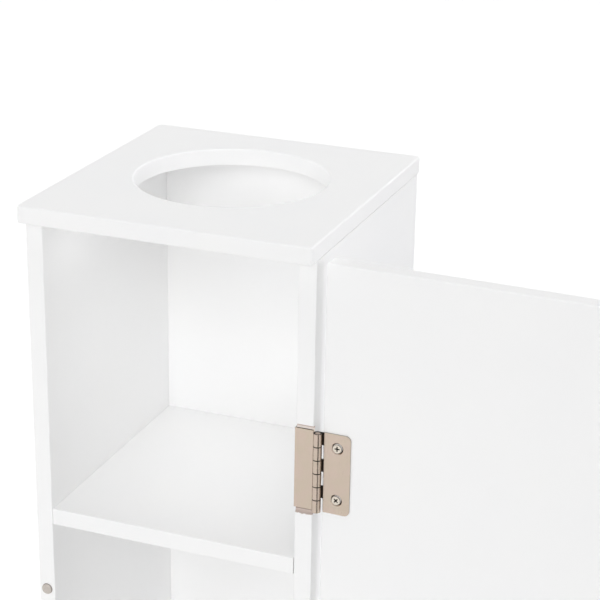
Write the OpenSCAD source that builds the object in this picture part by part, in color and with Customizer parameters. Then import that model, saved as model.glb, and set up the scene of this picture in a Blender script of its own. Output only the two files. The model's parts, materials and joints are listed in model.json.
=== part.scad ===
// Slim free-standing storage cabinet for toilet rolls, of white painted board. The top board has a round hole
// that a roll passes through, a fixed shelf divides the inside, and one full-overlay door hangs on two butt hinges.
// X runs across the cabinet, Y from front to back, Z up. The origin is on the floor, at the middle of the side
// panels' footprint. The door is modelled shut and then swung open about the hinge axis.

/* [Cabinet] */
// Width across the side panels
cabinet_w = 200; // [195:1:240]
// Height from the floor to the top board's upper face
cabinet_h = 620; // [600:1:700]
// Height of the foot: from the floor to the bottom panel's underside and the door's lower edge
foot_h = 72; // [66:1:110]
// Depth of the side panels
panel_depth = 197; // [194:1:230]
// Thickness of every board but the back panel
board_t = 12; // [12:0.5:15]
// Easing radius of the painted front edges
edge_ease = 0.8; // [0.4:0.1:1.5]

/* [Top board] */
// How far the top board stands out over each side panel
top_side_over = 0.5; // [0:0.5:5]
// How far it stands out in front of the side panels
top_front_over = 11; // [5:1:20]
// How far it stands out behind them
top_back_over = 4; // [0:1:10]
// Rounding of its four vertical corners, seen from above
top_corner_r = 3; // [2:0.5:6]
// Rounding of its upper and lower edges
top_edge_r = 1.5; // [0.5:0.5:2]
// Radius of the roll hole
roll_hole_r = 65.5; // [55:0.5:70]
// Distance of the roll hole's centre behind the side panels' front edges
roll_hole_back = 102; // [98:1:106]
// Easing of the hole's upper rim
rim_top_r = 1.2; // [0.4:0.1:2]
// Easing of the hole's lower rim
rim_low_r = 0.8; // [0.4:0.1:2]

/* [Inside] */
// Clear height of the upper compartment
upper_room = 206; // [180:1:240]
// Distance of the shelf's front edge behind the side panels' front edges
shelf_setback = 1; // [1:1:15]
// Gap between the shelf's right end and the right side panel
shelf_end_gap = 0.8; // [0.2:0.1:1]
// Distance of the back panel's front face behind the side panels' front edges
back_setin = 186; // [178:1:187]
// Thickness of the back panel
back_t = 5; // [3:0.5:6]
// Depth of the back panel's grooves in the side panels
groove_depth = 5; // [3:0.5:6]
// Depth of its groove in the top board
top_groove_depth = 4; // [3:0.5:5]
// Distance of the plinth board behind the side panels' front edges
plinth_setback = 12; // [5:1:30]

/* [Door] */
// How far the door stands out over each side panel
door_side_over = 0.5; // [0:0.5:2]
// Gap between the door's top edge and the level of the top board's underside
door_top_gap = 1; // [1:0.5:4]
// Angle at which the door stands open
door_angle = 178.5; // [0:0.5:190]
// Easing radius of the door's edges
door_edge_r = 1; // [0.4:0.1:1.5]

/* [Hinges] */
// Distance of each hinge's middle from the door's nearer end
hinge_inset = 139.5; // [80:0.5:165]
// Height of a hinge
hinge_h = 55.5; // [45:0.5:60]
// Thickness of the leaves
leaf_t = 1; // [0.8:0.1:1.2]
// Radius of the hinge pin
pin_r = 1.8; // [1.5:0.1:2]
// Radial play of the pin in the knuckles
pin_play = 0.05; // [0.02:0.01:0.1]
// Distance of the hinge axis outside the side panel's outer face
axis_out = 3; // [2.9:0.1:4]
// Width of the door leaf, measured from the hinge axis
door_leaf_w = 21.5; // [20:0.5:30]
// Depth of the wrapped flange on the side panel's inner face
flange_d = 18; // [16:1:24]
// Corner radius of the leaves
leaf_corner_r = 3.5; // [2:0.5:5]
// Distance between the two screws of a leaf
leaf_screw_gap = 36; // [30:1:36]
// Distance of the door leaf's screws from the hinge axis
door_screw_out = 12.5; // [12:0.5:14]
// Depth of the mortise across the side panel's front edge
mortise_depth = 2; // [1.5:0.1:2.4]
// Reach of the mortise above the hinge's middle
mortise_up = 31; // [30:0.5:34]
// Reach of the mortise below the hinge's middle
mortise_down = 31.5; // [30:0.5:34]

/* [Catch, knob and feet] */
// Radius of the catch magnet
magnet_r = 3.7; // [3:0.1:4]
// How far the magnet stands out of the panel's edge
magnet_proud = 1.2; // [0.5:0.1:1.2]
// Length of the magnet
magnet_l = 8; // [5:1:10]
// Radius of the strike disc on the door
strike_r = 5.5; // [4.5:0.5:6]
// Thickness of the strike disc
strike_t = 1.8; // [1:0.1:1.8]
// Radius of the knob's head
knob_r = 12; // [10:0.5:16]
// How far the knob stands out of the door
knob_l = 20; // [18:1:28]
// Distance of the knob from the door's free edge
knob_in = 30; // [20:1:45]
// Height of the glides under the side panels
glide_h = 4; // [3:0.5:6]
// Radius of the glides
glide_r = 5.5; // [4:0.5:5.5]

/* [Hidden] */

$fn = 64;
over = 1; // how far a cutter reaches past the face that it cuts

// Planes of the cabinet
front_y = -panel_depth / 2;
back_y = panel_depth / 2;
inner_w = cabinet_w - 2 * board_t;
under_top_z = cabinet_h - board_t;
shelf_top_z = under_top_z - upper_room;
door_top_z = under_top_z - door_top_gap;
bottom_top_z = foot_h + board_t;
back_face_y = front_y + back_setin;
roll_hole_y = front_y + roll_hole_back;

// Fits
slide_fit = 0.1;  // back panel in its grooves, each side
hole_fit = 0.05;  // dowels, nails and screws in their holes, radially
bore_end = 0.5;   // spare depth at the end of a bore

// Hinge
knuckle_count = 6;
knuckle_gap = 0.7;     // end play between neighbouring knuckles
knuckle_side = 0.9;    // clearance between a leaf's notch and the other leaf's knuckles
barrel_r = pin_r + pin_play + leaf_t;
axis_x = cabinet_w / 2 + axis_out;
axis_y = front_y + mortise_depth - barrel_r;
leaf_y = barrel_r - leaf_t;     // near face of a leaf, measured from the axis
notch_x = barrel_r + knuckle_side;
curl_root = 0.4;                // where a leaf runs out into its curled knuckle
bend_x = axis_x - inner_w / 2;  // from the axis to the side panel's inner face
upper_hinge_z = door_top_z - hinge_inset;
lower_hinge_z = foot_h + hinge_inset;

// Shut door
door_in_y = axis_y - barrel_r;
door_out_y = door_in_y - board_t;
door_w = cabinet_w + 2 * door_side_over;

// Countersunk cross-recess wood screw
screw_r = 1.5;
screw_l = 10;
screw_tip = 2.5;
csk_r = 3.3;
csk_h = csk_r - screw_r;
csk_sink = 0.7;        // how far the head lies under the leaf's face
csk_seat_r = 4.1;      // radius of the leaf's countersink at its face
recess_l = 3.6;
recess_w = 0.7;
recess_d = 1.1;

// Dowels
dowel_r = 3;
dowel_l = 25;
dowel_in_face = 8;      // how much of a dowel sits in the face of a board
dowel_y = [front_y + 36, back_face_y - 32];
plinth_dowel_z = [0.3 * foot_h, 0.7 * foot_h];

// Catch, strike and knob
magnet_x = -(cabinet_w - board_t) / 2;
magnet_z = (door_top_z + foot_h) / 2;
magnet_slack = 0.25;
knob_x = -door_w / 2 + knob_in;
knob_z = magnet_z;
knob_neck_r = 4.5;
knob_base_r = 6.5;
knob_base_h = 1.6;
knob_head_h = 8;
knob_dome_r = 20;
knob_lip_r = 2;
knob_screw_r = 2;
knob_screw_hole_r = 2.3;
knob_screw_head_r = 4;
knob_screw_head_h = 2.4;
knob_thread_d = 11;

// Brads and glide nails
brad_r = 0.6;
brad_l = 15;
brad_head_r = 1.3;
brad_head_h = 0.5;
brad_x = [-60, 0, 60];
nail_r = 0.9;
nail_l = 14;
nail_head_r = 2;
nail_head_h = 0.8;
nail_head_z = 1.4;      // height of the nail's head above the floor
glide_edge_r = 1.2;
glide_y = [front_y + 20, back_y - 20];

// ---- shared shapes ----

// Rectangle from the origin, with its corners eased: low left, low right, high right, high left
module eased_rect(size, r, corners = [1, 1, 1, 1]) {
    places = [[0, 0], [size.x, 0], [size.x, size.y], [0, size.y]];
    difference() {
        square(size);
        for (i = [0:3]) {
            if (corners[i] == 1) {
                translate(places[i]) mirror([places[i].x > 0 ? 1 : 0, 0]) mirror([0, places[i].y > 0 ? 1 : 0])
                    difference() {
                        translate([-over, -over]) square(r + over);
                        translate([r, r]) circle(r);
                    }
            }
        }
    }
}

// Board from the origin, with all its edges rounded by edge_r and its upright corners by corner_r
module eased_board(size, edge_r, corner_r) {
    intersection() {
        linear_extrude(size.z) eased_rect([size.x, size.y], corner_r);
        translate([0, size.y, 0]) rotate([90, 0, 0]) linear_extrude(size.y) eased_rect([size.x, size.z], edge_r);
        rotate([90, 0, 90]) linear_extrude(size.x) eased_rect([size.y, size.z], edge_r);
    }
}

// Puts a part of the shut door at the door's open angle
module swing() {
    translate([axis_x, axis_y, 0]) rotate([0, 0, door_angle]) translate([-axis_x, -axis_y, 0]) children();
}

// Countersunk screw, with its head's face at the origin and its point down. grow turns it into its own hole.
module screw_body(grow = 0) {
    translate([0, 0, -csk_h]) cylinder(r1 = screw_r + grow, r2 = csk_r + grow, h = csk_h);
    translate([0, 0, screw_tip - screw_l - grow]) cylinder(r = screw_r + grow, h = screw_l - screw_tip + 2 * grow);
    translate([0, 0, -screw_l - grow]) cylinder(r1 = 0.3 + grow, r2 = screw_r + grow, h = screw_tip);
}

module wood_screw() {
    difference() {
        screw_body();
        for (turn = [45, 135]) {
            rotate(turn) translate([-recess_l / 2, -recess_w / 2, -recess_d])
                cube([recess_l, recess_w, recess_d + over]);
        }
    }
}

// Countersink through a sheet whose face is at the origin
module countersink(sheet_t) {
    translate([0, 0, -sheet_t - over]) cylinder(r = csk_seat_r - sheet_t, h = over + hole_fit);
    translate([0, 0, -sheet_t]) cylinder(r1 = csk_seat_r - sheet_t, r2 = csk_seat_r, h = sheet_t);
    cylinder(r = csk_seat_r, h = over);
}

// ---- dowels, shared by the boards that they join and by their own nodes ----

// Dowel from the origin along +Z, standing dowel_in_face deep in the board above
module dowel(grow = 0, spare = 0) {
    translate([0, 0, -spare]) cylinder(r = dowel_r + grow, h = dowel_l + spare);
}

module top_dowel_set(grow = 0, spare = 0) {
    for (side = [-1, 1], y = dowel_y) {
        translate([side * (cabinet_w - board_t) / 2, y, under_top_z + dowel_in_face - dowel_l]) dowel(grow, spare);
    }
}

// Level dowels at one height, from the ends of a crosswise board into both side panels
module level_dowel_set(ys, z, grow = 0, spare = 0) {
    for (side = [-1, 1], y = ys) {
        translate([side * (inner_w / 2 + dowel_in_face - dowel_l), y, z]) rotate([0, side * 90, 0]) dowel(grow, spare);
    }
}

module shelf_dowel_set(grow = 0, spare = 0) {
    level_dowel_set(dowel_y, shelf_top_z - board_t / 2, grow, spare);
}

module bottom_dowel_set(grow = 0, spare = 0) {
    level_dowel_set(dowel_y, foot_h + board_t / 2, grow, spare);
}

module plinth_dowel_set(grow = 0, spare = 0) {
    for (z = plinth_dowel_z) {
        level_dowel_set([front_y + plinth_setback + board_t / 2], z, grow, spare);
    }
}

module side_dowel_holes() {
    top_dowel_set(hole_fit, bore_end);
    shelf_dowel_set(hole_fit);
    bottom_dowel_set(hole_fit);
    plinth_dowel_set(hole_fit);
}

// ---- brads and glide nails ----

module brad_set(grow = 0) {
    for (z = [shelf_top_z - board_t / 2, foot_h + board_t / 2], x = brad_x) {
        translate([x, back_face_y + back_t, z]) rotate([90, 0, 0]) {
            cylinder(r = brad_r + grow, h = brad_l + grow);
            translate([0, 0, -brad_head_h]) cylinder(r = brad_head_r, h = brad_head_h);
        }
    }
}

module glide_places() {
    for (side = [-1, 1], y = glide_y) {
        translate([side * (cabinet_w - board_t) / 2, y, 0]) children();
    }
}

module nail_body(grow = 0) {
    translate([0, 0, nail_head_z - grow]) cylinder(r = nail_head_r + grow, h = nail_head_h + 2 * grow);
    translate([0, 0, nail_head_z]) cylinder(r = nail_r + grow, h = nail_l + grow);
}

// ---- carcass ----

module roll_hole() {
    rotate_extrude($fn = 180) {
        translate([0, -over]) square([roll_hole_r, board_t + 2 * over]);
        translate([0, board_t - rim_top_r]) difference() {
            square([roll_hole_r + rim_top_r, rim_top_r + over]);
            translate([roll_hole_r + rim_top_r, 0]) circle(rim_top_r);
        }
        translate([0, -over]) difference() {
            square([roll_hole_r + rim_low_r, rim_low_r + over]);
            translate([roll_hole_r + rim_low_r, rim_low_r + over]) circle(rim_low_r);
        }
    }
}

module top_board() {
    size = [cabinet_w + 2 * top_side_over, top_front_over + panel_depth + top_back_over, board_t];
    groove_w = inner_w + 2 * groove_depth;
    color("white") difference() {
        translate([-size.x / 2, front_y - top_front_over, under_top_z]) eased_board(size, top_edge_r, top_corner_r);
        translate([0, roll_hole_y, under_top_z]) roll_hole();
        translate([-groove_w / 2, back_face_y - slide_fit, under_top_z - over])
            cube([groove_w, back_t + 2 * slide_fit, top_groove_depth + over]);
        top_dowel_set(hole_fit);
    }
}

// Side panel of the right-hand side, with the groove and the holes that both panels have
module plain_side_panel() {
    difference() {
        translate([inner_w / 2, front_y, glide_h]) linear_extrude(under_top_z - glide_h)
            eased_rect([board_t, panel_depth], edge_ease, [1, 1, 0, 0]);
        translate([inner_w / 2 - over, back_face_y - slide_fit, foot_h])
            cube([groove_depth + over, back_t + 2 * slide_fit, under_top_z - foot_h + over]);
        side_dowel_holes();
        glide_places() nail_body(hole_fit);
    }
}

module left_side_panel() {
    color("white") difference() {
        mirror([1, 0, 0]) plain_side_panel();
        translate([magnet_x, front_y - over, magnet_z]) rotate([-90, 0, 0])
            cylinder(r = magnet_r + magnet_slack, h = magnet_l - magnet_proud + over);
    }
}

module right_side_panel() {
    color("white") difference() {
        plain_side_panel();
        for (z = [upper_hinge_z, lower_hinge_z]) {
            translate([inner_w / 2 - over, front_y - over, z - mortise_down])
                cube([board_t + 2 * over, mortise_depth + over, mortise_up + mortise_down]);
            frame_screw_places(z) screw_body(hole_fit);
        }
    }
}

module back_panel() {
    w = inner_w + 2 * groove_depth - 2 * slide_fit;
    h = under_top_z + top_groove_depth - slide_fit - foot_h;
    color("white") difference() {
        translate([-w / 2, back_face_y, foot_h]) cube([w, back_t, h]);
        brad_set(hole_fit);
    }
}

// Board between the side panels, up to the back panel, with an eased front edge
module cross_board(w, top_z, setback) {
    translate([-inner_w / 2, front_y + setback, top_z - board_t]) rotate([90, 0, 90]) linear_extrude(w)
        eased_rect([back_setin - setback, board_t], edge_ease, [1, 0, 0, 1]);
}

module shelf() {
    color("white") difference() {
        cross_board(inner_w - shelf_end_gap, shelf_top_z, shelf_setback);
        shelf_dowel_set(hole_fit, bore_end);
        brad_set(hole_fit);
    }
}

module bottom_panel() {
    color("white") difference() {
        cross_board(inner_w, bottom_top_z, 0);
        bottom_dowel_set(hole_fit, bore_end);
        brad_set(hole_fit);
    }
}

module plinth() {
    color("white") difference() {
        translate([-inner_w / 2, front_y + plinth_setback, glide_h]) cube([inner_w, board_t, foot_h - glide_h]);
        plinth_dowel_set(hole_fit, bore_end);
    }
}

module top_dowels() {
    color("burlywood") top_dowel_set();
}

module shelf_dowels() {
    color("burlywood") shelf_dowel_set();
}

module bottom_dowels() {
    color("burlywood") bottom_dowel_set();
}

module plinth_dowels() {
    color("burlywood") plinth_dowel_set();
}

module back_brads() {
    color("silver") brad_set();
}

module foot_glides() {
    color("whitesmoke") glide_places() difference() {
        rotate_extrude() eased_rect([glide_r, glide_h], glide_edge_r, [0, 1, 0, 0]);
        nail_body(hole_fit);
    }
}

module glide_nails() {
    color("silver") glide_places() nail_body();
}

module catch_magnet() {
    color("silver") translate([magnet_x, front_y - magnet_proud, magnet_z]) rotate([-90, 0, 0])
        cylinder(r = magnet_r, h = magnet_l);
}

// ---- hinges ----

// Places of the two screws of a frame leaf, heads towards the compartment
module frame_screw_places(z) {
    for (end = [-1, 1]) {
        translate([inner_w / 2 - leaf_t + csk_sink, axis_y + leaf_y + flange_d * 0.58, z + end * leaf_screw_gap / 2])
            rotate([0, -90, 0]) children();
    }
}

// Places of the two screws of a door leaf on the shut door, heads towards the cabinet
module door_screw_places(z) {
    for (end = [-1, 1]) {
        translate([axis_x - door_screw_out, door_in_y + leaf_t - csk_sink, z + end * leaf_screw_gap / 2])
            rotate([-90, 0, 0]) children();
    }
}

// Knuckles of one leaf, round the axis at the origin: first is 0 for the door leaf and 1 for the frame leaf,
// counted from the top, and the leaf runs off towards -X behind the pin
module knuckles(first) {
    pitch = hinge_h / knuckle_count;
    for (i = [first:2:knuckle_count - 1]) {
        translate([0, 0, hinge_h / 2 - (i + 1) * pitch + knuckle_gap / 2]) linear_extrude(pitch - knuckle_gap)
            difference() {
                union() {
                    circle(barrel_r);
                    translate([-notch_x - over, leaf_y]) square([notch_x + over - curl_root, leaf_t]);
                }
                circle(pin_r + pin_play);
            }
    }
}

// Leaf that lies in the mortise and wraps round the side panel's inner corner
module frame_leaf(z) {
    plate_x = -bend_x;
    color("tan") difference() {
        translate([axis_x, axis_y, z]) {
            knuckles(1);
            translate([plate_x, leaf_y, -hinge_h / 2]) cube([bend_x - notch_x, leaf_t, hinge_h]);
            translate([plate_x, leaf_y + leaf_t, -hinge_h / 2]) linear_extrude(hinge_h) intersection() {
                circle(leaf_t);
                translate([-leaf_t, -leaf_t]) square(leaf_t);
            }
            translate([plate_x - leaf_t, leaf_y + leaf_t, -hinge_h / 2]) rotate([90, 0, 90]) linear_extrude(leaf_t)
                eased_rect([flange_d - leaf_t, hinge_h], leaf_corner_r, [0, 1, 1, 0]);
        }
        frame_screw_places(z) translate([0, 0, csk_sink]) countersink(leaf_t);
    }
}

// Leaf on the shut door's inner face
module door_leaf(z) {
    color("tan") difference() {
        translate([axis_x, axis_y, z]) {
            mirror([0, 1, 0]) knuckles(0);
            translate([-door_leaf_w, -leaf_y, -hinge_h / 2]) rotate([90, 0, 0]) linear_extrude(leaf_t)
                eased_rect([door_leaf_w - notch_x, hinge_h], leaf_corner_r, [1, 0, 0, 1]);
        }
        door_screw_places(z) translate([0, 0, csk_sink]) countersink(leaf_t);
    }
}

module hinge_pin(z) {
    color("silver") translate([axis_x, axis_y, z - hinge_h / 2]) cylinder(r = pin_r, h = hinge_h);
}

module frame_screws(z) {
    color("silver") frame_screw_places(z) wood_screw();
}

module door_screws(z) {
    color("silver") swing() door_screw_places(z) wood_screw();
}

// ---- door ----

// Screw of the strike disc, on the shut door's inner face
module strike_screw_place() {
    translate([magnet_x, door_in_y + strike_t - csk_sink, magnet_z]) rotate([-90, 0, 0]) children();
}

module door_panel() {
    size = [door_w, board_t, door_top_z - foot_h];
    color("white") swing() difference() {
        translate([-size.x / 2, door_out_y, foot_h]) eased_board(size, door_edge_r, door_edge_r);
        for (z = [upper_hinge_z, lower_hinge_z]) {
            door_screw_places(z) screw_body(hole_fit);
        }
        strike_screw_place() screw_body(hole_fit);
        translate([knob_x, door_out_y - over, knob_z]) rotate([-90, 0, 0])
            cylinder(r = knob_screw_hole_r, h = board_t + 2 * over);
    }
}

module knob() {
    color("tan") swing() translate([knob_x, door_out_y, knob_z]) rotate([90, 0, 0]) difference() {
        rotate_extrude() {
            square([knob_base_r, knob_base_h]);
            square([knob_neck_r, knob_l - knob_head_h + over]);
            translate([0, knob_l - knob_head_h]) intersection() {
                eased_rect([knob_r, knob_head_h], knob_lip_r, [0, 1, 0, 0]);
                translate([0, knob_head_h - knob_dome_r]) circle(knob_dome_r);
            }
        }
        translate([0, 0, -over]) cylinder(r = knob_screw_r + hole_fit, h = knob_thread_d + over);
    }
}

module knob_screw() {
    color("silver") swing() translate([knob_x, door_in_y, knob_z]) rotate([-90, 0, 0]) difference() {
        union() {
            translate([0, 0, bore_end - board_t - knob_thread_d])
                cylinder(r = knob_screw_r, h = board_t + knob_thread_d - bore_end);
            cylinder(r = knob_screw_head_r, h = knob_screw_head_h);
        }
        for (turn = [45, 135]) {
            rotate(turn) translate([-recess_l / 2, -recess_w / 2, knob_screw_head_h - recess_d])
                cube([recess_l, recess_w, recess_d + over]);
        }
    }
}

module strike_disc() {
    color("silver") swing() difference() {
        translate([magnet_x, door_in_y, magnet_z]) rotate([-90, 0, 0]) cylinder(r = strike_r, h = strike_t);
        strike_screw_place() translate([0, 0, csk_sink]) countersink(strike_t);
    }
}

module strike_screw() {
    color("silver") swing() strike_screw_place() wood_screw();
}

top_board();
left_side_panel();
right_side_panel();
back_panel();
shelf();
bottom_panel();
plinth();
top_dowels();
shelf_dowels();
bottom_dowels();
plinth_dowels();
back_brads();
foot_glides();
glide_nails();
catch_magnet();
frame_leaf(upper_hinge_z);  // upper_hinge_frame_leaf
hinge_pin(upper_hinge_z);  // upper_hinge_pin
frame_screws(upper_hinge_z);  // upper_hinge_frame_screws
frame_leaf(lower_hinge_z);  // lower_hinge_frame_leaf
hinge_pin(lower_hinge_z);  // lower_hinge_pin
frame_screws(lower_hinge_z);  // lower_hinge_frame_screws
door_panel();
knob();
knob_screw();
strike_disc();
strike_screw();
swing() door_leaf(upper_hinge_z);  // upper_hinge_door_leaf
door_screws(upper_hinge_z);  // upper_hinge_door_screws
swing() door_leaf(lower_hinge_z);  // lower_hinge_door_leaf
door_screws(lower_hinge_z);  // lower_hinge_door_screws
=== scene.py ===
import json
import math

import bmesh
import bpy
from mathutils import Matrix, Vector, noise


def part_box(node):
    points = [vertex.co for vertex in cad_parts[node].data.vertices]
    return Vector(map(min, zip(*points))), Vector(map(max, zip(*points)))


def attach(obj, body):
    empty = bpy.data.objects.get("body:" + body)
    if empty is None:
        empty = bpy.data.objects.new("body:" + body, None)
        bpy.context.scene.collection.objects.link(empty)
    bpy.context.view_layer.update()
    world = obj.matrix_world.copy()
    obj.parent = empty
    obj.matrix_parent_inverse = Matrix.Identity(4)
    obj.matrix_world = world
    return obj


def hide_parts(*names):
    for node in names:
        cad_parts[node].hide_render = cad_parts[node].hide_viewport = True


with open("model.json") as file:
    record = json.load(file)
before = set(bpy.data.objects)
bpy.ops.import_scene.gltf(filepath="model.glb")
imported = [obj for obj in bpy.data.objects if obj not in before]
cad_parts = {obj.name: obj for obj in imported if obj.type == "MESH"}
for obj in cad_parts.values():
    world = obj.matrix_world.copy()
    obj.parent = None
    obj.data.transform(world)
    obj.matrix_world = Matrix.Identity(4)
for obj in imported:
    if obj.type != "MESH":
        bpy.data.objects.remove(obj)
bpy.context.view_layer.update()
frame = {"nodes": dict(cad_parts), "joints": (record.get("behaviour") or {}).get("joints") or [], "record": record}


# ---- Side panels ----
# Two fibreboard panels, sawn to size, their long edges eased, and sprayed satin white. They are grooved for
# the back panel and drilled for dowels, the left one also for the magnet. The right one has two hinge
# mortises, routed across its front edge after painting, so raw fibreboard shows above and below each hinge.
MM = 0.001
long_edge_ease = 0.8 * MM
end_edge_ease = 0.25 * MM
dowel_fit = 0.05 * MM
groove_fit = 0.1 * MM
magnet_fit = 0.25 * MM


def new_object(name, data):
    made = bpy.data.objects.new(name, data)
    bpy.context.scene.collection.objects.link(made)
    return made


def new_piece(name, shape, *materials):
    """Object from a bmesh, with its place in its mesh."""
    mesh = bpy.data.meshes.new(name)
    shape.to_mesh(mesh)
    shape.free()
    for material in materials:
        mesh.materials.append(material)
    return new_object(name, mesh)


def put(piece, matrix):
    """Moves a piece by moving its mesh."""
    piece.data.transform(matrix)
    return piece


def bake(piece):
    """Turns a piece and its modifiers into one plain mesh."""
    graph = bpy.context.evaluated_depsgraph_get()
    mesh = bpy.data.meshes.new_from_object(piece.evaluated_get(graph), depsgraph=graph)
    rough = piece.data
    piece.modifiers.clear()
    piece.data = mesh
    bpy.data.meshes.remove(rough)
    mesh.name = piece.name
    return piece


def boolean(piece, other, operation="DIFFERENCE"):
    """Cuts another piece out of this one, or joins it on, and uses it up."""
    tool = piece.modifiers.new("boolean", "BOOLEAN")
    tool.object = other
    tool.operation = operation
    tool.solver = "EXACT"
    tool.material_mode = "TRANSFER"
    bake(piece)
    spare = other.data
    bpy.data.objects.remove(other)
    bpy.data.meshes.remove(spare)
    return piece


def round_edges(piece, width, angle, segments=2):
    """Rounds every edge sharper than the angle, in degrees."""
    rounding = piece.modifiers.new("rounded_edges", "BEVEL")
    rounding.limit_method = "ANGLE"
    rounding.angle_limit = math.radians(angle)
    rounding.width = width
    rounding.segments = segments
    return bake(piece)


def board(name, low, high, eases):
    """Painted block from low to high. eases are the roundings of its edges along X, Y and Z."""
    shape = bmesh.new()
    bmesh.ops.create_cube(shape, size=1)
    for vert in shape.verts:
        vert.co = Vector([low[i] + (vert.co[i] + 0.5) * (high[i] - low[i]) for i in range(3)])
    weights = shape.edges.layers.float.new("bevel_weight_edge")
    for edge in shape.edges:
        run = edge.verts[1].co - edge.verts[0].co
        along = max(range(3), key=lambda i: abs(run[i]))
        edge[weights] = eases[along] / max(eases)
    piece = new_piece(name, shape, satin_white)
    rounding = piece.modifiers.new("eased_edges", "BEVEL")
    rounding.limit_method = "WEIGHT"
    rounding.width = max(eases)
    rounding.segments = 4
    return bake(piece)


def solids_of(node, slack):
    """Closed copy of a CAD node's solids, each face moved out by slack, to cut bare board with."""
    shape = bmesh.new()
    shape.from_mesh(frame["nodes"][node].data)
    bmesh.ops.remove_doubles(shape, verts=shape.verts, dist=0.001 * MM)
    shape.normal_update()
    steps = [vert.normal * vert.calc_shell_factor() * slack for vert in shape.verts]
    for vert, step in zip(shape.verts, steps):
        vert.co += step
    return new_piece(node + "_room", shape, raw_board)


def drill(piece, slack, *nodes):
    """Cuts the room that other pieces need out of a board."""
    for node in nodes:
        boolean(piece, solids_of(node, slack))


def finish(piece, body, slot, *nodes, crease=32):
    """Smooth shading with flat faces kept flat, and the piece's place in the frame."""
    piece.data.shade_smooth()
    piece.data.set_sharp_from_angle(angle=math.radians(crease))
    weighting = piece.modifiers.new("flat_faces", "WEIGHTED_NORMAL")
    weighting.keep_sharp = True
    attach(piece, body)
    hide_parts(*nodes)


def feed(tree, socket, value):
    """Sets a node's input to a plain value, or links another node's output, or a list of them, to it."""
    if isinstance(value, list):
        for output in value:
            tree.links.new(output, socket)
    elif isinstance(value, bpy.types.NodeSocket):
        tree.links.new(value, socket)
    else:
        socket.default_value = value


def add_node(tree, kind, inputs, **settings):
    made = tree.nodes.new(kind)
    for key, value in settings.items():
        setattr(made, key, value)
    for key, value in inputs.items():
        feed(tree, made.inputs[key], value)
    return made


class Finish:
    """Material with a Principled shader, and short calls that add the nodes of its pattern."""

    def __init__(self, name):
        self.material = bpy.data.materials.new(name)
        self.material.use_nodes = True
        self.tree = self.material.node_tree
        self.shader = self.tree.nodes["Principled BSDF"]
        place = self.tree.nodes.new("ShaderNodeTexCoord")
        self.place = place.outputs["Object"]

    def node(self, kind, inputs, **settings):
        return add_node(self.tree, kind, inputs, **settings)

    def stretch(self, scale):
        """The place on the object with each axis scaled, for a pattern that runs one way."""
        return self.node("ShaderNodeMapping", {"Vector": self.place, "Scale": scale}).outputs["Vector"]

    def clouds(self, size, detail=2, where=None):
        """Noise from 0 to 1, with spots of about that size."""
        made = self.node("ShaderNodeTexNoise", {
            "Vector": where or self.place, "Scale": 1 / size, "Detail": detail, "Roughness": 0.55})
        return made.outputs["Fac"]

    def remap(self, value, low, high, to_low, to_high):
        made = self.node("ShaderNodeMapRange", {
            "Value": value, "From Min": low, "From Max": high, "To Min": to_low, "To Max": to_high})
        return made.outputs["Result"]

    def blend(self, factor, first, second):
        """Colour between two colours."""
        return self.node("ShaderNodeMix", {0: factor, 6: first, 7: second}, data_type="RGBA").outputs[2]

    def math(self, operation, first, second, third=None):
        values = {0: first, 1: second}
        if third is not None:
            values[2] = third
        return self.node("ShaderNodeMath", values, operation=operation).outputs[0]

    def bump(self, height, depth, strength=1.0, under=None):
        inputs = {"Height": height, "Distance": depth, "Strength": strength}
        if under is not None:
            inputs["Normal"] = under
        return self.node("ShaderNodeBump", inputs).outputs["Normal"]

    def use(self, **inputs):
        """Sets the shader's own sockets. The names are the sockets' names with _ for a space."""
        for key, value in inputs.items():
            feed(self.tree, self.shader.inputs[key.replace("_", " ")], value)
        return self.material


def satin_white_paint():
    """Sprayed paint: an almost even white, a little cooler in broad clouds, with fine dimples."""
    paint = Finish("satin_white_paint")
    tone = paint.remap(paint.clouds(60 * MM, 1), 0.3, 0.7, 0, 1)
    colour = paint.blend(tone, (0.957, 0.958, 0.960, 1), (0.970, 0.969, 0.966, 1))
    dimples = paint.clouds(1.4 * MM, 2)
    grain = paint.clouds(0.35 * MM, 1)
    skin = paint.bump(dimples, 0.02 * MM, 0.5)
    skin = paint.bump(grain, 0.005 * MM, 0.5, skin)
    gloss = paint.remap(dimples, 0.25, 0.75, 0.36, 0.46)
    return paint.use(Base_Color=colour, Roughness=gloss, Normal=skin)


satin_white = satin_white_paint()

hinge_z = {end: sum(corner.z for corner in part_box(end + "_hinge_pin")) / 2 for end in ("upper", "lower")}


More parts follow.
